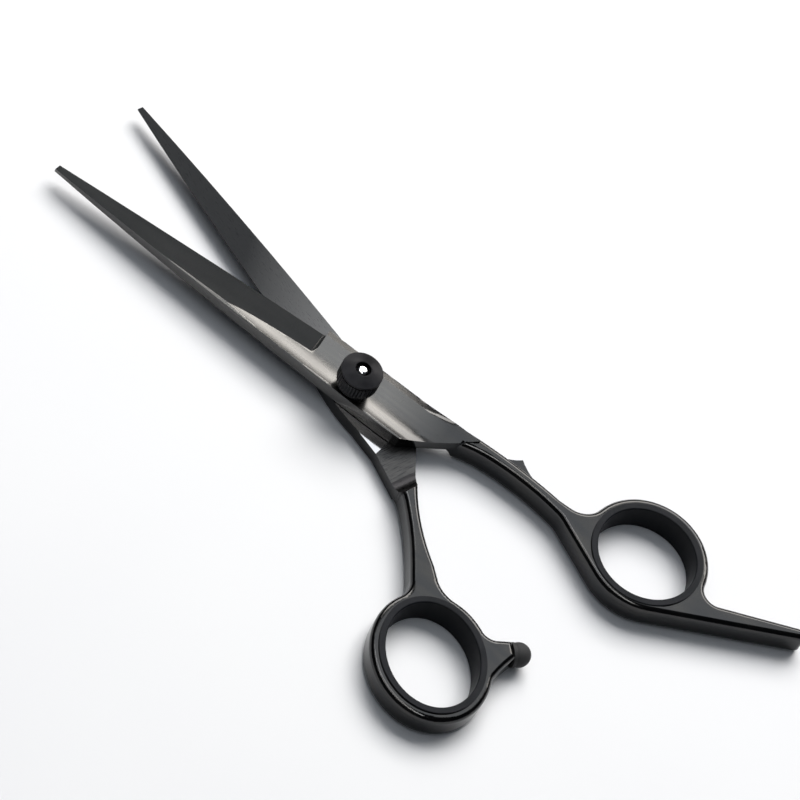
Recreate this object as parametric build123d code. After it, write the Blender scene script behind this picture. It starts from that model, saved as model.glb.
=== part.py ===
from build123d import *
import math
import os

# Hair cutting shears, lying flat: +X runs from the pivot to the handles, +Y is the finger
# side, +Z is up. The origin is on the pivot axis, at the flat bottom face of the pivot screw.
# The finger half stays still. The thumb half is drawn closed and then swung open.

os.makedirs("parts", exist_ok=True)

# Heights of the stack, in millimetres above the screw head's bottom face
handle_bottom = 0.35
thumb_bottom = 0.40
thumb_face = 3.20
finger_face = 3.40
handle_top = 5.90
finger_top = 6.30
insert_top = 6.25
mid_height = 3.10
spur_half_height = 1.8

# Blades
finger_reach = 73.6
thumb_reach = 74.9
open_angle = 19.6
edge_end = -11.0
edge_land = 0.12
grind_slope = 0.30
grind_step_round = 0.8
back_slope = 0.03
back_slope_start = -20.0
hollow_radius = 16.0
hollow_depth = 0.70
ramp_radius = 4.0
finger_ramp_start = 19.0
thumb_ramp_start = 20.5

# Grinding and milling cutters, larger than the part
cutter_length = 160.0
cutter_width = 60.0
cutter_height = 16.0

# Rings and their inserts
finger_ring_center = (65.5, 11.0)
finger_hole_radius = 10.3
finger_rim_center = (65.5, 11.4)
finger_rim_radius = 13.0
thumb_ring_center = (56.5, -21.95)
thumb_hole_long = 11.5
thumb_hole_short = 9.5
thumb_ring_turn = -32.7
insert_wall = 0.9
lip_overhang = 0.45
rim_wall = 2.9
top_round = 1.25
bottom_round = 0.9
hole_round = 0.25

# Pivot screw, washers, bushing
pivot_radius = 2.0
flats_half = 1.5
thread_radius = 1.7
head_radius = 3.0
head_top = 1.15
head_seat_top = 1.25
head_seat_radius = 3.1
head_chamfer = 0.2
head_groove_radius = 2.2
head_groove_width = 0.3
head_groove_depth = 0.15
bushing_radius = 2.6
running_gap = 0.03
sliding_gap = 0.02
screw_end_start = 10.9
screw_end = 12.45
screw_end_radius = 1.3
screw_end_round = 0.95

# Click plate, spring washer and tension knob
spot_face = 5.45
spot_radius = 3.1
washer_wall = 0.4
washer_play = 0.1
click_plate_radius = 3.0
click_plate_bottom = 5.85
click_plate_top = 6.35
click_count = 16
dimple_depth = 0.15
knob_radius = 4.30
knob_bottom = 6.45
knob_base_radius = 3.3
knob_rim = 11.80
knob_cone_top = 12.50
knob_recess_radius = 1.62
knob_recess_floor = 11.40
knurl_count = 40
knurl_depth = 0.16
knurl_bottom = 8.30
knurl_top = 10.95
groove_depth = 0.30
groove_width = 0.40
knob_base_height = 1.1
knob_lip = 0.25
thread_insert_radius = 2.7
thread_insert_bottom = 8.8
thread_insert_top = 11.0
detent_orbit = 2.45
detent_ball_radius = 0.50
detent_pocket_top = 8.50
detent_count = 2
detent_wire = 0.20
detent_turns = 3

# Rubber stopper between the rings, on a stud in a boss of the thumb ring
stopper_center = (63.38, -4.33)
stopper_direction = 63.8
stopper_radius = 2.5
stopper_back = 1.7
stopper_flange = 0.7
stud_radius = 0.8
stud_length = 5.0


def disc(radius, bottom, top, center=(0, 0)):
    """Upright cylinder between two heights."""
    return Pos(center[0], center[1], (bottom + top) / 2) * Cylinder(radius, top - bottom)


def tube(outer, inner, bottom, top, center=(0, 0)):
    """Upright tube between two heights."""
    return disc(outer, bottom, top, center) - disc(inner, bottom, top, center)


def slab(outline, bottom, top):
    """Closed outline, raised from one height to another."""
    return Pos(0, 0, bottom) * extrude(make_face(outline), top - bottom)


def oval(growth, bottom, top):
    """Upright block with the thumb hole's oval outline, grown all round."""
    face = Ellipse(thumb_hole_long + growth, thumb_hole_short + growth)
    block = extrude(Rot(0, 0, thumb_ring_turn) * face, top - bottom)
    return Pos(*thumb_ring_center, bottom) * block


def raise_plan(plan):
    """Raises a handle's outline to its full height."""
    return Pos(0, 0, handle_bottom) * extrude(plan, handle_top - handle_bottom)


def round_rims(block, radius_top, radius_bottom):
    """Rounds the outer top and bottom edges of an upright block."""
    block = fillet(block.faces().sort_by(Axis.Z)[-1].outer_wire().edges(), radius_top)
    return fillet(block.faces().sort_by(Axis.Z)[0].outer_wire().edges(), radius_bottom)


def round_hole(block):
    """Breaks the top and bottom edges of a ring's finger hole."""
    top_wire = block.faces().sort_by(Axis.Z)[-1].inner_wires()[0]
    bottom_wire = block.faces().sort_by(Axis.Z)[0].inner_wires()[0]
    return fillet(top_wire.edges() + bottom_wire.edges(), hole_round)


def tangent_from(point, center, radius, side):
    """Point where a line from outside meets a circle tangentially, on one side."""
    run = math.hypot(point[0] - center[0], point[1] - center[1])
    facing = math.atan2(point[1] - center[1], point[0] - center[0])
    turn = facing + side * math.acos(radius / run)
    return (center[0] + radius * math.cos(turn), center[1] + radius * math.sin(turn))


def round_corners(block, corners):
    """Rounds upright corner edges one by one, each given as x, y and radius."""
    for x, y, radius in corners:
        upright = block.edges().filter_by(Axis.Z)
        block = fillet(upright.sort_by_distance((x, y, mid_height))[0], radius)
    return block


def finger_handle():
    """Shank, ring and tang of the finger half, as one rounded bar without its ring hole."""
    tang_end = (100.3, 18.4)
    tang_back = (99.3, 20.6)
    shank_end = tangent_from((47.5, 5.9), finger_rim_center, finger_rim_radius, 1)
    tang_start = tangent_from(tang_end, finger_rim_center, finger_rim_radius, -1)
    shank = make_face([
        ThreePointArc((14.0, -2.0), (22.5, 4.6), (30.0, 6.6)),
        ThreePointArc((30.0, 6.6), (39.0, 6.9), (47.5, 5.9)),
        Line((47.5, 5.9), shank_end),
        Line(shank_end, (62.0, 10.0)),
        Line((62.0, 10.0), (45.5, 9.15)),
        ThreePointArc((45.5, 9.15), (33.0, 9.6), (14.0, 7.6)),
        Line((14.0, 7.6), (14.0, -2.0)),
    ])
    tang = make_face(Polyline(tang_start, tang_end, tang_back, (70.0, 5.3), tang_start))
    rim = Pos(*finger_rim_center) * Circle(finger_rim_radius)
    block = round_corners(raise_plan(shank + rim + tang), [
        (52.6, 9.5, 5.0),
        (78.4, 9.7, 3.2),
        (47.5, 5.9, 6.0),
        (*tang_end, 1.0),
        (*tang_back, 1.0),
    ])
    return round_rims(block, top_round, bottom_round)


def spur():
    """Low pointed spur on the outer side of the finger shank."""
    outline = [
        ThreePointArc((28.0, 8.6), (32.0, 9.6), (34.7, 11.8)),
        ThreePointArc((34.7, 11.8), (37.0, 10.3), (41.5, 9.0)),
        Line((41.5, 9.0), (28.0, 8.6)),
    ]
    return slab(outline, mid_height - spur_half_height, mid_height + spur_half_height)


def thumb_handle():
    """Shank, ring and stopper boss of the thumb half, as one rounded bar."""
    shank = make_face([
        Line((16.0, 5.3), (24.4, -1.3)),
        ThreePointArc((24.4, -1.3), (31.9, -5.85), (40.4, -9.1)),
        Line((40.4, -9.1), (50.0, -13.2)),
        Line((50.0, -13.2), (52.0, -20.0)),
        Line((52.0, -20.0), (44.0, -17.8)),
        Line((44.0, -17.8), (38.0, -13.3)),
        ThreePointArc((38.0, -13.3), (31.5, -8.9), (24.5, -5.2)),
        Line((24.5, -5.2), (16.0, -3.6)),
        Line((16.0, -3.6), (16.0, 5.3)),
    ])
    boss = make_face([
        Line((61.0, -5.06), (57.5, -11.0)),
        Line((57.5, -11.0), (58.0, -15.0)),
        Line((58.0, -15.0), (66.5, -15.0)),
        ThreePointArc((66.5, -15.0), (65.0, -10.5), (64.25, -6.66)),
        Line((64.25, -6.66), (61.0, -5.06)),
    ])
    ring_turn = Rot(0, 0, thumb_ring_turn)
    ring = Ellipse(thumb_hole_long + rim_wall, thumb_hole_short + rim_wall)
    block = raise_plan(shank + boss + Pos(*thumb_ring_center) * ring_turn * ring)
    block = round_corners(block, [
        (24.5, -5.2, 8.0),
        (43.1, -17.0, 5.0),
        (46.5, -11.7, 7.0),
        (66.0, -13.8, 4.0),
        (58.4, -9.2, 3.0),
    ])
    return round_rims(block, top_round, bottom_round)


def cutter(right, bottom):
    """Large block with its right face and its bottom face at given places."""
    place = Pos(right - cutter_length / 2, 0, bottom + cutter_height / 2)
    return place * Box(cutter_length, cutter_width, cutter_height)


def grind_blade(plate, edge_start, edge_stop, hollow_center, thickness):
    """Grinds a flat plate into a blade: inner face down, cutting edge on the +Y side."""
    hollow_axis = thickness - hollow_depth + hollow_radius
    hollow_wheel = Rot(0, 90, 0) * Cylinder(hollow_radius, cutter_length)
    plate -= Pos(0, hollow_center, hollow_axis) * hollow_wheel
    back_turn = math.degrees(math.atan(back_slope))
    plate -= Pos(back_slope_start, 0, thickness) * Rot(0, -back_turn, 0) * cutter(0, 0)
    heading = math.degrees(math.atan2(edge_stop[1] - edge_start[1], edge_stop[0] - edge_start[0]))
    grind_turn = math.degrees(math.atan(grind_slope))
    grind = cutter(0, 0)
    heel_edge = grind.edges().filter_by(Axis.Y).sort_by(Axis.X)[-2:].sort_by(Axis.Z)[0]
    grind = fillet(heel_edge, grind_step_round)
    place = Pos(edge_stop[0], edge_stop[1], edge_land) * Rot(0, 0, heading)
    return plate - place * Rot(-grind_turn, 0, 0) * grind


def relief_ramp(start, face):
    """Space under a blade's inner face that ends in a hollow-ground ramp into the handle."""
    wheel = Rot(90, 0, 0) * Cylinder(ramp_radius, cutter_width)
    return cutter(start, face - cutter_height) + Pos(start, 0, face - ramp_radius) * wheel


def keyed_hole(bottom, top):
    """Round hole with two flats that hold the screw still."""
    return disc(pivot_radius, bottom, top) & Pos(0, 0, (bottom + top) / 2) * Box(
        2 * pivot_radius, 2 * flats_half, top - bottom)


def finger_blade():
    """Finger half in one forging: blade, shank, spur, ring and tang."""
    thickness = finger_top - finger_face
    tip = -finger_reach
    outline = [
        Spline((tip, -0.45), (-40.0, -2.55), (10.0, -3.75)),
        Line((10.0, -3.75), (13.6, -3.6)),
        Line((13.6, -3.6), (23.2, 4.9)),
        Line((23.2, 4.9), (26.0, 8.0)),
        Line((26.0, 8.0), (edge_end, 7.6)),
        ThreePointArc((edge_end, 7.6), (-42.0, 4.8), (tip, 1.35)),
        Line((tip, 1.35), (tip, -0.45)),
    ]
    plate = slab(outline, 0, thickness)
    plate = grind_blade(plate, (tip, 1.7), (edge_end, 7.95), 1.35, thickness)
    handle = finger_handle() - relief_ramp(finger_ramp_start, finger_face)
    body = Pos(0, 0, finger_face) * plate + handle + spur()
    ring_hole = finger_hole_radius + insert_wall
    body -= disc(ring_hole, 0, finger_top, finger_ring_center)
    body -= keyed_hole(finger_face, finger_top)
    body -= disc(spot_radius, spot_face, finger_top + 1)
    return body


def swing(piece):
    """Turns a piece of the thumb half from closed to the open rest position."""
    return Rot(0, 0, -open_angle) * piece


def thumb_blade():
    """Thumb half in one forging, drawn closed: blade, shank, ring and stopper boss."""
    thickness = thumb_face - thumb_bottom
    tip = -thumb_reach
    outline = [
        Spline((tip, -1.10), (-34.0, -4.9), (0.0, -6.8)),
        Line((0.0, -6.8), (11.0, -6.9)),
        Line((11.0, -6.9), (16.0, -5.3)),
        Line((16.0, -5.3), (22.6, 0.0)),
        Line((22.6, 0.0), (22.6, 4.8)),
        Line((22.6, 4.8), (13.6, 3.3)),
        Line((13.6, 3.3), (7.0, 3.5)),
        ThreePointArc((7.0, 3.5), (1.0, 3.95), (-5.0, 3.5)),
        Line((-5.0, 3.5), (edge_end, 2.75)),
        ThreePointArc((edge_end, 2.75), (-42.0, 2.1), (tip, 0.15)),
        Line((tip, 0.15), (tip, -1.10)),
    ]
    plate = slab(outline, 0, thickness)
    plate = grind_blade(plate, (tip, 0.75), (edge_end, 3.35), -2.0, thickness)
    plate = Pos(0, 0, thumb_face) * Rot(180, 0, 0) * plate
    space = mirror(relief_ramp(thumb_ramp_start, -thumb_face), Plane.XY)
    body = plate + (thumb_handle() - space)
    body -= oval(insert_wall, 0, finger_top)
    body -= disc(bushing_radius, 0, thumb_face)
    body -= disc(head_seat_radius, 0, head_seat_top)
    body -= stud_rod(stud_radius)
    return swing(body)


def stud_frame():
    """Place of the stopper: its axis points from the thumb ring to the finger ring."""
    turn = math.radians(stopper_direction)
    axis = (math.cos(turn), math.sin(turn), 0)
    return Plane(origin=(*stopper_center, mid_height), z_dir=axis)


def stud_rod(radius):
    """Stud's cylinder, from inside the boss to inside the rubber."""
    return stud_frame() * Pos(0, 0, -stopper_back) * Cylinder(radius, stud_length)


def stopper_stud():
    """Threaded stud that holds the rubber stopper."""
    return swing(stud_rod(stud_radius))


def stopper_bumper():
    """Domed rubber stopper with a thin flange, seated on the boss."""
    keep = Pos(0, 0, cutter_height / 2 - stopper_back) * Box(cutter_width, cutter_width, cutter_height)
    dome = Sphere(stopper_radius) & keep
    flange = Pos(0, 0, stopper_flange / 2 - stopper_back) * Cylinder(stopper_radius, stopper_flange)
    return swing(stud_frame() * (dome + flange) - stud_rod(stud_radius))


def finger_ring_insert():
    """Flanged plastic sleeve in the finger ring."""
    outer = finger_hole_radius + insert_wall
    lip = outer + lip_overhang
    sleeve = disc(outer, 0, insert_top, finger_ring_center)
    sleeve += disc(lip, handle_top, insert_top, finger_ring_center)
    sleeve += disc(lip, 0, handle_bottom, finger_ring_center)
    return round_hole(sleeve - disc(finger_hole_radius, 0, insert_top, finger_ring_center))


def thumb_ring_insert():
    """Flanged oval plastic sleeve in the thumb ring."""
    sleeve = oval(insert_wall, 0, insert_top)
    sleeve += oval(insert_wall + lip_overhang, handle_top, insert_top)
    sleeve += oval(insert_wall + lip_overhang, 0, handle_bottom)
    return swing(round_hole(sleeve - oval(0, 0, insert_top)))


def pivot_screw():
    """Pivot screw: plain head below, flats through the finger blade, polished end above."""
    head = disc(head_radius, 0, head_top)
    head = chamfer(head.edges().sort_by(Axis.Z)[0], head_chamfer)
    head -= tube(head_groove_radius, head_groove_radius - head_groove_width, 0, head_groove_depth)
    neck = disc(pivot_radius, head_top, finger_face)
    neck += keyed_hole(finger_face, click_plate_top)
    thread = disc(thread_radius, click_plate_top, screw_end_start)
    end = disc(screw_end_radius, screw_end_start, screw_end)
    end = fillet(end.edges().sort_by(Axis.Z)[-1], screw_end_round)
    return head + neck + thread + end


def pivot_bushing():
    """Bronze sleeve pressed in the thumb blade, running on the screw."""
    return tube(bushing_radius, pivot_radius + running_gap, head_seat_top, thumb_face)


def head_washer():
    """Thin washer between the screw head and the thumb blade."""
    return tube(head_radius, pivot_radius, head_top, head_seat_top - sliding_gap)


def blade_washer():
    """Thin washer that keeps the two blades' flat faces apart at the pivot."""
    return tube(bushing_radius, pivot_radius, thumb_face + sliding_gap, finger_face)


def spring_washer():
    """Conical spring washer that holds the blades together under the click plate."""
    height = click_plate_bottom - spot_face
    foot = click_plate_radius - washer_play
    cone = Cone(foot, pivot_radius + washer_wall, height)
    hollow = Cone(foot - washer_wall, pivot_radius + washer_play, height)
    return Pos(0, 0, spot_face + height / 2) * (cone - hollow)


def click_plate():
    """Keyed disc with a ring of shallow dimples for the knob's detent balls."""
    plate = disc(click_plate_radius, click_plate_bottom, click_plate_top)
    plate -= keyed_hole(click_plate_bottom, click_plate_top)
    lift = detent_ball_radius - dimple_depth
    for turn in range(click_count):
        dimple = Pos(detent_orbit, 0, click_plate_top + lift) * Sphere(detent_ball_radius)
        plate -= Rot(0, 0, turn * 360 / click_count) * dimple
    return plate


def knurled_band():
    """Straight-knurled band: an even ring of V grooves."""
    points = []
    for step in range(2 * knurl_count):
        turn = math.pi * step / knurl_count
        radius = knob_radius - knurl_depth * (step % 2)
        points.append((radius * math.cos(turn), radius * math.sin(turn)))
    outline = Polyline(*points, close=True)
    return slab(outline, knurl_bottom, knurl_top)


def tension_knob():
    """Tension knob: rounded base, knurled band, groove and shallow cone with a recess."""
    neck_radius = knob_radius - groove_depth
    base_top = knob_bottom + knob_base_height
    profile = Polyline(
        (0, knob_bottom),
        (knob_base_radius, knob_bottom),
        (neck_radius, base_top),
        (neck_radius, knurl_top + groove_width),
        (knob_radius, knurl_top + groove_width),
        (knob_radius, knob_rim),
        (knob_recess_radius + knob_lip, knob_cone_top),
        (0, knob_cone_top),
        close=True,
    )
    knob = revolve(Plane.XZ * make_face(profile), Axis.Z)
    knob += knurled_band()
    knob -= disc(thread_radius + running_gap, knob_bottom, thread_insert_top)
    knob -= disc(screw_end_radius + running_gap, knob_bottom, knob_cone_top)
    knob -= disc(thread_insert_radius, thread_insert_bottom, thread_insert_top)
    knob -= disc(knob_recess_radius, knob_recess_floor, knob_cone_top)
    for place in detent_places():
        knob -= disc(detent_ball_radius + running_gap, knob_bottom, detent_pocket_top, place)
    return knob


def knob_thread_insert():
    """Brass nut pressed in the knob; its thread is drawn as a plain running bore."""
    bore = thread_radius + running_gap
    return tube(thread_insert_radius, bore, thread_insert_bottom, thread_insert_top)


def detent_places():
    """Centres of the detent pockets, spread evenly round the pivot."""
    places = []
    for index in range(detent_count):
        turn = 2 * math.pi * index / detent_count
        places.append((detent_orbit * math.cos(turn), detent_orbit * math.sin(turn)))
    return places


def ball_height():
    """Height of the detent balls' centres, just clear of the click plate's land."""
    return click_plate_top + sliding_gap + detent_ball_radius


def detent_balls():
    """Steel balls in the knob's underside."""
    return Compound([Pos(x, y, ball_height()) * Sphere(detent_ball_radius) for x, y in detent_places()])


def detent_springs():
    """Small square-wire coil springs above the detent balls."""
    bottom = ball_height() + detent_ball_radius
    height = detent_pocket_top - bottom - 1.2 * detent_wire
    coil_radius = detent_ball_radius - 0.75 * detent_wire
    path = Helix(height / detent_turns, height, coil_radius)
    section = Plane(origin=path @ 0, x_dir=(1, 0, 0), z_dir=path % 0) * Rectangle(detent_wire, detent_wire)
    coil = sweep(section, path, is_frenet=True)
    lift = bottom + 0.6 * detent_wire
    return Compound([Pos(x, y, lift) * coil for x, y in detent_places()])


PIECES = [
    finger_blade,
    finger_ring_insert,
    pivot_screw,
    blade_washer,
    head_washer,
    spring_washer,
    click_plate,
    thumb_blade,
    thumb_ring_insert,
    pivot_bushing,
    stopper_bumper,
    stopper_stud,
    tension_knob,
    knob_thread_insert,
    detent_balls,
    detent_springs,
]

for piece in PIECES:
    export_step(piece(), f"parts/{piece.__name__}.step")
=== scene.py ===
import math

import bmesh
import bpy
from mathutils import Matrix, Vector


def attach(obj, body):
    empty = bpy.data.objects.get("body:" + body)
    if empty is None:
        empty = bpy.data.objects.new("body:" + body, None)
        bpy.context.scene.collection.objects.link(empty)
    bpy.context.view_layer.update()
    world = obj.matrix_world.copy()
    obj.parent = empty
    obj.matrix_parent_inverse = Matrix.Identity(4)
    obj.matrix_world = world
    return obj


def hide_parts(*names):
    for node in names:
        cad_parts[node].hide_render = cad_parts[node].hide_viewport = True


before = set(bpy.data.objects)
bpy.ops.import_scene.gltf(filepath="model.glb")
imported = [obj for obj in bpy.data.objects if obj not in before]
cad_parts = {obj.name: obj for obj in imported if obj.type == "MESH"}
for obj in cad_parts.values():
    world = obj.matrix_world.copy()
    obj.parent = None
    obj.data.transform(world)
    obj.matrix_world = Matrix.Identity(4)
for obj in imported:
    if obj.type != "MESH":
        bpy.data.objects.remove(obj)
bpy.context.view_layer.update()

# Metres, in the CAD frame: origin on the pivot axis at the screw head's bottom face,
# +X towards the handles, +Y towards the finger ring's outer side, +Z up.
MM = 0.001
PIVOT_AXIS = "Z"
OPEN_ANGLE = math.radians(19.6)

# Camera
CAMERA_AIM = Vector((8.58, 4.54, 5.73)) * MM
CAMERA_AZIMUTH = math.radians(9.2)
CAMERA_ELEVATION = math.radians(52)
CAMERA_ROLL = math.radians(30)
CAMERA_DISTANCE = 0.9833
CAMERA_LENS = 225
CAMERA_SENSOR = 36
CAMERA_NEAR = 0.01

# Floor and light
FLOOR_SIZE = 7.0
FLOOR_DROP = 0.05 * MM
FLOOR_COLOR = (0.80, 0.805, 0.83)
WORLD_COLOR = (0.030, 0.032, 0.036)
LAMP_DISTANCE = 1.5
LAMP_SIDE = -0.14
# Name, elevation from the far side in degrees, width, height, radiance, colour,
# whether it lights the table, whether it shows in the steel
LAMPS = (
    ("key", 52, 1.3, 1.0, 6.4, (1.0, 0.985, 0.96), True, False),
    ("sky", 95, 2.6, 1.6, 0.36, (0.86, 0.93, 1.0), True, False),
    ("window", 35, 2.2, 0.46, 5.0, (1.0, 0.965, 0.92), False, True),
    ("ceiling", 71, 2.4, 1.05, 1.25, (0.95, 0.98, 1.0), False, True),
    ("strip_near", 101, 2.0, 0.14, 6.0, (1.0, 0.99, 0.97), False, True),
    ("strip_far", 116, 2.0, 0.12, 5.0, (1.0, 0.99, 0.97), False, True),
)

# Darkest and lightest shade of each finish, and of the painted sheen and painted shade marked below
POLISHED_SHADES = ((0.046, 0.047, 0.049), (0.058, 0.057, 0.056))
BUFFED_SHADES = ((0.122, 0.121, 0.120), (0.138, 0.136, 0.132))
GRIND_SHADES = ((0.017, 0.0185, 0.020), (0.022, 0.0235, 0.025))
# Painted sheen on the thumb blade's lapped face: its colour runs from the first shade to the second
# towards the pivot
PAINTED_SHEEN_SHADES = ((0.019, 0.020, 0.0215), (0.105, 0.107, 0.110))
HEEL_SHADES = ((0.030, 0.031, 0.033), (0.075, 0.075, 0.075))
# Painted shade on the thumb blade's heel ramp, darker than the polished shades
RAMP_PAINTED_SHADES = ((0.016, 0.016, 0.018), (0.030, 0.030, 0.032))
INSERT_SHADES = ((0.006, 0.007, 0.009), (0.010, 0.011, 0.014))
RUBBER_SHADES = ((0.016, 0.016, 0.017), (0.030, 0.030, 0.031))
KNOB_SHADES = ((0.012, 0.012, 0.0135), (0.019, 0.019, 0.0205))
CHROME_SHADES = ((0.78, 0.78, 0.80), (0.86, 0.86, 0.87))
STEEL_SHADES = ((0.50, 0.50, 0.51), (0.62, 0.62, 0.63))
BRONZE_SHADES = ((0.52, 0.36, 0.18), (0.66, 0.47, 0.26))
BRASS_SHADES = ((0.68, 0.52, 0.24), (0.80, 0.64, 0.34))
TABLE_SHADES = ((0.79, 0.795, 0.82), (0.82, 0.825, 0.84))

# Where the finger half's buffed finish turns into the polished one, and where the painted sheen on the
# thumb blade's lapped face brightens its colour towards the pivot along the turned axis
BUFFED_FULL = 6 * MM
POLISHED_FULL = 20 * MM
PAINTED_SHEEN_TURN = math.radians(-20)
PAINTED_SHEEN_START = -28 * MM
PAINTED_SHEEN_END = -4 * MM

# Material slots of the two halves
POLISHED, GRIND, INNER, BRIGHT, HEEL, RAMP = range(6)

# What tells the faces apart: in millimetres, in each half's closed position
GRIND_NORMAL = Vector((-0.0285, 0.2856, 0.958)).normalized()
FACET_TOLERANCE = math.radians(1.5)
FACE_TOLERANCE = 0.01
LEVEL = 0.99
LEANING = 0.05
FINGER_FACE = 3.40
THUMB_FACE = 3.20
GRIND_HEEL = -8.0
GRIND_HEEL_SIDE = 2.0
GRIND_HEEL_LEAN = -0.2
HEEL_START = 13.4
RAMP_END = 24.35
RAMP_UNDER = -0.9
WALL_TOP = 4.65
SPUR_TOP = 4.95
STEP_BOTTOM = 5.5
SPOT_RADIUS = 3.2

# Hollow of the finger half round the pivot, in millimetres
FINGER_TOP = 6.30
HOLLOW_CENTER = 1.35
HOLLOW_RADIUS = 16.0
HOLLOW_DEPTH = 0.70
HOLLOW_RIM = math.sqrt(HOLLOW_RADIUS ** 2 - (HOLLOW_RADIUS - HOLLOW_DEPTH) ** 2)
HOLLOW_END = 14.0
HOLLOW_FADE = 24.0
RIM_SLOPE = 0.28
RIM_NARROWING = 3.0
GRID_STEP = 0.7
SAME_PLACE = 1e-4
ON_PLANE = 1e-5
CREASE_ANGLE = math.radians(26)


def node(tree, kind, **values):
    """Adds a shader node. Names of its inputs and attributes are set from the keywords."""
    made = tree.nodes.new(kind)
    for key, value in values.items():
        label = key.replace("_", " ")
        if label in made.inputs:
            made.inputs[label].default_value = value
        else:
            setattr(made, key, value)
    return made


def new_material(name, color, metallic, roughness):
    """Principled material with uniform values on its own sockets."""
    material = bpy.data.materials.new(name)
    material.use_nodes = True
    shader = material.node_tree.nodes["Principled BSDF"]
    shader.inputs["Base Color"].default_value = (*color, 1)
    shader.inputs["Metallic"].default_value = metallic
    shader.inputs["Roughness"].default_value = roughness
    return material, material.node_tree, shader


def grain(tree, scale, turn=0.0, detail=3.0):
    """Noise over the piece's own place, stretched by a different scale along each axis."""
    place = node(tree, "ShaderNodeTexCoord")
    mapping = node(tree, "ShaderNodeMapping")
    mapping.inputs["Scale"].default_value = scale
    spin = node(tree, "ShaderNodeMapping")
    spin.inputs["Rotation"].default_value = (0, 0, turn)
    noise = node(tree, "ShaderNodeTexNoise", Scale=1.0, Detail=detail)
    tree.links.new(place.outputs["Object"], spin.inputs["Vector"])
    tree.links.new(spin.outputs["Vector"], mapping.inputs["Vector"])
    tree.links.new(mapping.outputs["Vector"], noise.inputs["Vector"])
    return noise.outputs["Fac"]


def spread(tree, source, low, high, start=0.3, end=0.7):
    """Maps a noise value to a range of numbers."""
    ramp = node(tree, "ShaderNodeMapRange")
    ramp.inputs["From Min"].default_value = start
    ramp.inputs["From Max"].default_value = end
    ramp.inputs["To Min"].default_value = low
    ramp.inputs["To Max"].default_value = high
    tree.links.new(source, ramp.inputs["Value"])
    return ramp.outputs["Result"]


def tint(tree, source, dark, light, start=0.3, end=0.7):
    """Maps a noise value to a range of colours."""
    ramp = node(tree, "ShaderNodeValToRGB")
    ramp.color_ramp.elements[0].position = start
    ramp.color_ramp.elements[1].position = end
    ramp.color_ramp.elements[0].color = (*dark, 1)
    ramp.color_ramp.elements[1].color = (*light, 1)
    tree.links.new(source, ramp.inputs["Fac"])
    return ramp.outputs["Color"]


def add_bump(tree, shader, source, height, edge_radius=0.0):
    """Bump from a height, over edges that are softened by a small radius."""
    bump = node(tree, "ShaderNodeBump", Strength=1.0, Distance=height)
    tree.links.new(source, bump.inputs["Height"])
    if edge_radius:
        edge = node(tree, "ShaderNodeBevel", samples=6, Radius=edge_radius)
        tree.links.new(edge.outputs["Normal"], bump.inputs["Normal"])
    tree.links.new(bump.outputs["Normal"], shader.inputs["Normal"])


def polished_black():
    """Mirror-polished black coating with faint haze and fine rub marks."""
    material, tree, shader = new_material("polished_black_coating", (0.05, 0.05, 0.052), 1.0, 0.16)
    haze = grain(tree, (160, 420, 160))
    rubs = grain(tree, (500, 5200, 2500), detail=4)
    tree.links.new(spread(tree, haze, 0.12, 0.20), shader.inputs["Roughness"])
    tree.links.new(tint(tree, haze, *POLISHED_SHADES), shader.inputs["Base Color"])
    add_bump(tree, shader, rubs, 0.0010 * MM, 0.12 * MM)
    return material


def satin_grind():
    """Ground facet: dark, matte, with fine lines across the blade."""
    material, tree, shader = new_material("satin_grind", (0.02, 0.021, 0.0225), 1.0, 0.42)
    lines = grain(tree, (9000, 700, 900), detail=4)
    cloud = grain(tree, (60, 200, 200), detail=2)
    tree.links.new(spread(tree, lines, 0.36, 0.50), shader.inputs["Roughness"])
    tree.links.new(tint(tree, cloud, *GRIND_SHADES), shader.inputs["Base Color"])
    add_bump(tree, shader, lines, 0.0012 * MM, 0.06 * MM)
    return material


def inner_face():
    """Flat inner face: fine lapped finish with soft lines along the blade, and a painted sheen that
    brightens its colour towards the pivot.
    """
    material, tree, shader = new_material("lapped_inner_face_painted_sheen", (0.06, 0.063, 0.067), 1.0, 0.30)
    lines = grain(tree, (500, 7000, 900), turn=OPEN_ANGLE, detail=4)
    place = node(tree, "ShaderNodeTexCoord")
    spin = node(tree, "ShaderNodeMapping")
    spin.inputs["Rotation"].default_value = (0, 0, PAINTED_SHEEN_TURN)
    parts = node(tree, "ShaderNodeSeparateXYZ")
    tree.links.new(place.outputs["Object"], spin.inputs["Vector"])
    tree.links.new(spin.outputs["Vector"], parts.inputs["Vector"])
    tree.links.new(spread(tree, lines, 0.26, 0.36), shader.inputs["Roughness"])
    # Painted sheen: the colour brightens towards the pivot, standing in for a reflection
    nearness = spread(tree, parts.outputs["X"], 0, 1, PAINTED_SHEEN_START, PAINTED_SHEEN_END)
    shine = tint(tree, nearness, *PAINTED_SHEEN_SHADES, 0.0, 1.0)
    tree.links.new(shine, shader.inputs["Base Color"])
    add_bump(tree, shader, lines, 0.0008 * MM, 0.06 * MM)
    return material


def bright_flat():
    """Mirror-bright bearing flat beside the pivot."""
    material, tree, shader = new_material("bright_bearing_flat", (0.60, 0.60, 0.61), 1.0, 0.08)
    rubs = grain(tree, (900, 5200, 2500), detail=4)
    tree.links.new(spread(tree, rubs, 0.05, 0.13), shader.inputs["Roughness"])
    add_bump(tree, shader, rubs, 0.0006 * MM)
    return material


def heel_steel():
    """Brushed heel block with lines across it."""
    material, tree, shader = new_material("brushed_heel", (0.05, 0.05, 0.052), 1.0, 0.30)
    lines = grain(tree, (7000, 350, 900), turn=OPEN_ANGLE, detail=5)
    tree.links.new(spread(tree, lines, 0.24, 0.42), shader.inputs["Roughness"])
    tree.links.new(tint(tree, lines, *HEEL_SHADES), shader.inputs["Base Color"])
    add_bump(tree, shader, lines, 0.003 * MM)
    return material


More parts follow.
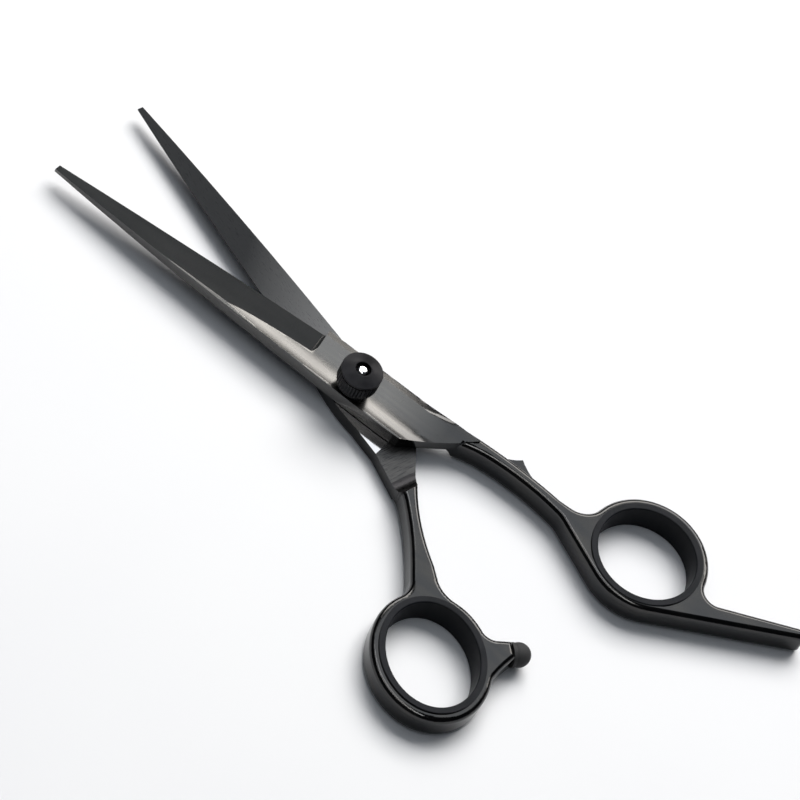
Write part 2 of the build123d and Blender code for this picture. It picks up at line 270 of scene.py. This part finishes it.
def ramp_painted_shade():
    """Ground ramp at the end of the thumb blade's heel, with lines across it, and a painted shade that
    makes its colour darker than the polished handle.
    """
    material, tree, shader = new_material("ground_ramp_painted_shade", (0.022, 0.022, 0.024), 1.0, 0.30)
    lines = grain(tree, (5000, 350, 900), turn=OPEN_ANGLE, detail=4)
    tree.links.new(spread(tree, lines, 0.24, 0.38), shader.inputs["Roughness"])
    # Painted shade: the ramp's colour is darker than the polished handle's
    tree.links.new(tint(tree, lines, *RAMP_PAINTED_SHADES), shader.inputs["Base Color"])
    add_bump(tree, shader, lines, 0.002 * MM)
    return material


def finger_black():
    """Black steel of the finger half: buffed soft round the pivot, polished on the handle."""
    material, tree, shader = new_material("buffed_black", (0.11, 0.11, 0.11), 1.0, 0.22)
    streaks = grain(tree, (60, 1500, 600), detail=2)
    cloud = grain(tree, (90, 260, 260), detail=2)
    place = node(tree, "ShaderNodeTexCoord")
    parts = node(tree, "ShaderNodeSeparateXYZ")
    tree.links.new(place.outputs["Object"], parts.inputs["Vector"])
    soft = spread(tree, parts.outputs["X"], 1.0, 0.0, BUFFED_FULL, POLISHED_FULL)
    rough = node(tree, "ShaderNodeMapRange")
    tree.links.new(soft, rough.inputs["Value"])
    tree.links.new(spread(tree, cloud, 0.12, 0.19), rough.inputs["To Min"])
    tree.links.new(spread(tree, cloud, 0.24, 0.30), rough.inputs["To Max"])
    tree.links.new(rough.outputs["Result"], shader.inputs["Roughness"])
    shine = node(tree, "ShaderNodeMix", data_type="RGBA")
    tree.links.new(soft, shine.inputs["Factor"])
    tree.links.new(tint(tree, cloud, *POLISHED_SHADES), shine.inputs["A"])
    tree.links.new(tint(tree, streaks, *BUFFED_SHADES), shine.inputs["B"])
    tree.links.new(shine.outputs["Result"], shader.inputs["Base Color"])
    add_bump(tree, shader, streaks, 0.0003 * MM)
    return material


def insert_plastic():
    """Satin black insert with a fine moulded grain."""
    material, tree, shader = new_material("insert_plastic", (0.010, 0.011, 0.013), 0.0, 0.40)
    shader.inputs["Specular IOR Level"].default_value = 0.1
    pores = grain(tree, (6000, 6000, 6000), detail=3)
    cloud = grain(tree, (250, 250, 250), detail=2)
    tree.links.new(spread(tree, cloud, 0.33, 0.46), shader.inputs["Roughness"])
    tree.links.new(tint(tree, cloud, *INSERT_SHADES), shader.inputs["Base Color"])
    add_bump(tree, shader, pores, 0.004 * MM, 0.12 * MM)
    return material


def stopper_rubber():
    """Matte black rubber with a pored skin."""
    material, tree, shader = new_material("stopper_rubber", (0.02, 0.02, 0.021), 0.0, 0.75)
    pores = grain(tree, (4500, 4500, 4500), detail=4)
    tree.links.new(spread(tree, pores, 0.65, 0.85), shader.inputs["Roughness"])
    tree.links.new(tint(tree, pores, *RUBBER_SHADES), shader.inputs["Base Color"])
    add_bump(tree, shader, pores, 0.012 * MM, 0.1 * MM)
    return material


def turned_black():
    """Black anodised knob, with fine turning marks round its axis."""
    material, tree, shader = new_material("turned_black_anodising", (0.016, 0.016, 0.0175), 1.0, 0.34)
    place = node(tree, "ShaderNodeTexCoord")
    parts = node(tree, "ShaderNodeSeparateXYZ")
    around = node(tree, "ShaderNodeVectorMath", operation="LENGTH")
    flat = node(tree, "ShaderNodeVectorMath", operation="MULTIPLY")
    flat.inputs[1].default_value = (1, 1, 0)
    join = node(tree, "ShaderNodeCombineXYZ")
    rings = node(tree, "ShaderNodeTexNoise", Scale=9000.0, Detail=3.0)
    tree.links.new(place.outputs["Object"], flat.inputs[0])
    tree.links.new(place.outputs["Object"], parts.inputs["Vector"])
    tree.links.new(flat.outputs["Vector"], around.inputs[0])
    tree.links.new(around.outputs["Value"], join.inputs["X"])
    tree.links.new(parts.outputs["Z"], join.inputs["Y"])
    tree.links.new(join.outputs["Vector"], rings.inputs["Vector"])
    cloud = grain(tree, (400, 400, 400), detail=2)
    tree.links.new(spread(tree, rings.outputs["Fac"], 0.28, 0.42), shader.inputs["Roughness"])
    tree.links.new(tint(tree, cloud, *KNOB_SHADES), shader.inputs["Base Color"])
    shader.inputs["Anisotropic"].default_value = 0.6
    add_bump(tree, shader, rings.outputs["Fac"], 0.0012 * MM, 0.08 * MM)
    return material


def bright_metal(name, shades, rough_low, rough_high):
    """Bare metal with clouded colour and fine scratches."""
    material, tree, shader = new_material(name, shades[1], 1.0, rough_high)
    scratches = grain(tree, (900, 6000, 6000), detail=4)
    cloud = grain(tree, (500, 500, 500), detail=2)
    tree.links.new(spread(tree, scratches, rough_low, rough_high), shader.inputs["Roughness"])
    tree.links.new(tint(tree, cloud, *shades), shader.inputs["Base Color"])
    add_bump(tree, shader, scratches, 0.0008 * MM, 0.05 * MM)
    return material


def paint(name, material):
    """Gives a carried-over CAD node its finish."""
    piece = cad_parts[name]
    for slot in piece.material_slots:
        slot.material = material


def finger_finish(center, normal):
    """Finish of one face of the finger half."""
    if normal.angle(GRIND_NORMAL) < FACET_TOLERANCE:
        return GRIND
    at_heel = center.x < GRIND_HEEL and center.y > GRIND_HEEL_SIDE
    if at_heel and normal.x < GRIND_HEEL_LEAN and normal.z > LEANING:
        return GRIND
    if normal.z < -LEVEL and abs(center.z - FINGER_FACE) < FACE_TOLERANCE:
        return INNER
    return POLISHED


def thumb_finish(center, normal):
    """Finish of one face of the thumb half, seen in its closed position."""
    if normal.z > LEVEL and abs(center.z - THUMB_FACE) < FACE_TOLERANCE:
        if center.x > HEEL_START:
            return HEEL
        return BRIGHT if center.x > 0 else INNER
    near_ramp = center.x < RAMP_END and center.z > THUMB_FACE
    if near_ramp and normal.z > RAMP_UNDER and normal.x < -LEANING:
        return RAMP
    return POLISHED


def is_top(face):
    """Whether a face belongs to the finger half's top side, its edges included."""
    center = face.calc_center_median()
    if face.material_index != POLISHED or center.z < WALL_TOP or center.xy.length < SPOT_RADIUS:
        return False
    if face.normal.z > LEANING:
        return face.normal.z < LEVEL or center.z > SPUR_TOP
    return face.normal.z > -LEANING and min(vert.co.z for vert in face.verts) > STEP_BOTTOM


def hollow_height(y, shift):
    """Height of the finger blade's hollow. Its far rim slopes outwards, from further out by the shift."""
    aside = y - HOLLOW_CENTER
    if aside > HOLLOW_RIM:
        return FINGER_TOP - RIM_SLOPE * max(0.0, aside - HOLLOW_RIM - shift)
    rise = HOLLOW_RADIUS - math.sqrt(HOLLOW_RADIUS ** 2 - aside ** 2)
    return FINGER_TOP - HOLLOW_DEPTH + min(rise, HOLLOW_DEPTH)


def cut_grid(shape, tops):
    """Cuts the top side along a square grid, so that it can be curved."""
    verts = {vert for face in tops for vert in face.verts}
    edges = {edge for face in tops for edge in face.edges}
    parts = list(verts) + list(edges) + tops
    for axis in range(2):
        low = min(vert.co[axis] for vert in verts)
        high = max(vert.co[axis] for vert in verts)
        normal = Vector((1 - axis, axis, 0))
        for step in range(1, int((high - low) / GRID_STEP) + 1):
            place = normal * (low + step * GRID_STEP)
            cut = bmesh.ops.bisect_plane(shape, geom=parts, dist=ON_PLANE,
                                         plane_co=place, plane_no=normal)
            parts = cut["geom"]
    return [part for part in parts if isinstance(part, bmesh.types.BMFace) and part.is_valid]


def keep_normals(mesh):
    """Stores the CAD's exact corner normals in an attribute that outlives the cuts."""
    store = mesh.attributes.new("cad_normal", "FLOAT_VECTOR", "CORNER")
    for place, corner in zip(store.data, mesh.corner_normals):
        place.vector = corner.vector


def restore_normals(mesh):
    """Puts the stored normals back; corners without one are shaded smooth."""
    normals = [tuple(place.vector) for place in mesh.attributes["cad_normal"].data]
    mesh.attributes.remove(mesh.attributes["cad_normal"])
    mesh.set_sharp_from_angle(angle=CREASE_ANGLE)
    mesh.normals_split_custom_set(normals)


def hollow_top(shape):
    """Curves the top side round the pivot into a hollow that runs out on the handle.

    The curved faces lose their stored normals, so that they are shaded smooth.
    """
    tops = cut_grid(shape, [face for face in shape.faces if is_top(face)])
    for vert in {vert for face in tops for vert in face.verts if vert.co.x < HOLLOW_FADE}:
        along = max(0.0, (vert.co.x - HOLLOW_END) / (HOLLOW_FADE - HOLLOW_END))
        share = along * along * (3 - 2 * along)
        height = hollow_height(vert.co.y, RIM_NARROWING * along)
        if along == 0 or vert.co.y > HOLLOW_CENTER + HOLLOW_RIM:
            height = min(height, vert.co.z)
        if vert.co.y < HOLLOW_CENTER + HOLLOW_RIM:
            height = share * vert.co.z + (1 - share) * height
        vert.co.z = height
    store = shape.loops.layers.float_vector["cad_normal"]
    for face in tops:
        if face.calc_center_median().x < HOLLOW_FADE:
            for loop in face.loops:
                loop[store] = (0, 0, 0)
    bmesh.ops.triangulate(shape, faces=[face for face in shape.faces if len(face.verts) > 4])


def skin(name, body, finishes, pick, turn, hollow):
    """Copy of a CAD node's mesh, hollowed if asked, with a finish for each kind of face."""
    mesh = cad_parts[name].data.copy()
    mesh.name = name + "_skin"
    mesh.materials.clear()
    for finish in finishes:
        mesh.materials.append(finish)
    keep_normals(mesh)
    shape = bmesh.new()
    shape.from_mesh(mesh)
    close = Matrix.Rotation(turn, 4, PIVOT_AXIS) @ Matrix.Scale(1 / MM, 4)
    shape.transform(close)
    bmesh.ops.remove_doubles(shape, verts=shape.verts[:], dist=SAME_PLACE)
    shape.normal_update()
    for face in shape.faces:
        face.material_index = pick(face.calc_center_median(), face.normal)
        face.smooth = True
    if hollow:
        hollow_top(shape)
    shape.transform(close.inverted())
    shape.to_mesh(mesh)
    shape.free()
    restore_normals(mesh)
    piece = bpy.data.objects.new(name + "_skin", mesh)
    bpy.context.collection.objects.link(piece)
    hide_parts(name)
    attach(piece, body)


def add_camera():
    """Camera at the object's viewing angle."""
    right = Vector((math.cos(CAMERA_AZIMUTH), math.sin(CAMERA_AZIMUTH), 0))
    level = Vector((math.sin(CAMERA_AZIMUTH), -math.cos(CAMERA_AZIMUTH), 0))
    back = level * math.cos(CAMERA_ELEVATION) + Vector((0, 0, math.sin(CAMERA_ELEVATION)))
    up = back.cross(right)
    x_axis = right * math.cos(CAMERA_ROLL) + up * math.sin(CAMERA_ROLL)
    y_axis = up * math.cos(CAMERA_ROLL) - right * math.sin(CAMERA_ROLL)
    data = bpy.data.cameras.new("camera")
    data.lens = CAMERA_LENS
    data.sensor_width = CAMERA_SENSOR
    data.clip_start = CAMERA_NEAR
    camera = bpy.data.objects.new("camera", data)
    camera.matrix_world = Matrix((x_axis, y_axis, back)).transposed().to_4x4()
    camera.matrix_world.translation = CAMERA_AIM + back * CAMERA_DISTANCE
    bpy.context.collection.objects.link(camera)
    bpy.context.scene.camera = camera


def add_floor():
    """Pale table top."""
    material, tree, shader = new_material("pale_table", FLOOR_COLOR, 0.0, 0.55)
    cloud = grain(tree, (9, 9, 9), detail=2)
    tree.links.new(tint(tree, cloud, *TABLE_SHADES), shader.inputs["Base Color"])
    half = FLOOR_SIZE / 2
    corners = [(-half, -half, -FLOOR_DROP), (half, -half, -FLOOR_DROP),
               (half, half, -FLOOR_DROP), (-half, half, -FLOOR_DROP)]
    mesh = bpy.data.meshes.new("table")
    mesh.from_pydata(corners, [], [(0, 1, 2, 3)])
    mesh.materials.append(material)
    table = bpy.data.objects.new("table", mesh)
    bpy.context.collection.objects.link(table)


def add_softbox(name, elevation, width, height, radiance, color, diffuse, glossy):
    """Rectangular soft light aimed at the pivot, from over the far side at some elevation.

    The power of an area light is four times its radiance times its area.
    """
    data = bpy.data.lights.new(name, "AREA")
    data.shape = "RECTANGLE"
    data.size = width
    data.size_y = height
    data.energy = 4 * radiance * width * height
    data.color = color
    light = bpy.data.objects.new(name, data)
    turn = math.radians(elevation)
    toward = Vector((LAMP_SIDE, math.cos(turn), math.sin(turn))).normalized()
    light.location = toward * LAMP_DISTANCE
    light.rotation_euler = toward.to_track_quat("Z", "Y").to_euler()
    light.visible_diffuse = diffuse
    light.visible_glossy = glossy
    bpy.context.collection.objects.link(light)


def add_world():
    """Dim room round the lights."""
    world = bpy.data.worlds.new("room")
    world.use_nodes = True
    world.node_tree.nodes["Background"].inputs["Color"].default_value = (*WORLD_COLOR, 1)
    bpy.context.scene.world = world
    bpy.context.scene.view_settings.view_transform = "Standard"


add_camera()
add_floor()
add_world()
for lamp in LAMPS:
    add_softbox(*lamp)

steel = [satin_grind(), inner_face(), bright_flat(), heel_steel(), ramp_painted_shade()]
skin("finger_blade", "finger_half", [finger_black()] + steel, finger_finish, 0.0, True)
skin("thumb_blade", "thumb_half", [polished_black()] + steel, thumb_finish, OPEN_ANGLE, False)

plastic = insert_plastic()
paint("finger_ring_insert", plastic)
paint("thumb_ring_insert", plastic)
paint("stopper_bumper", stopper_rubber())
paint("tension_knob", turned_black())
chrome = bright_metal("polished_steel", CHROME_SHADES, 0.05, 0.12)
plain = bright_metal("plain_steel", STEEL_SHADES, 0.24, 0.36)
bronze = bright_metal("bearing_bronze", BRONZE_SHADES, 0.25, 0.38)
brass = bright_metal("turned_brass", BRASS_SHADES, 0.20, 0.32)
paint("pivot_screw", chrome)
paint("detent_balls", chrome)
for name in ("stopper_stud", "head_washer", "spring_washer", "click_plate", "detent_springs"):
    paint(name, plain)
for name in ("pivot_bushing", "blade_washer"):
    paint(name, bronze)
paint("knob_thread_insert", brass)
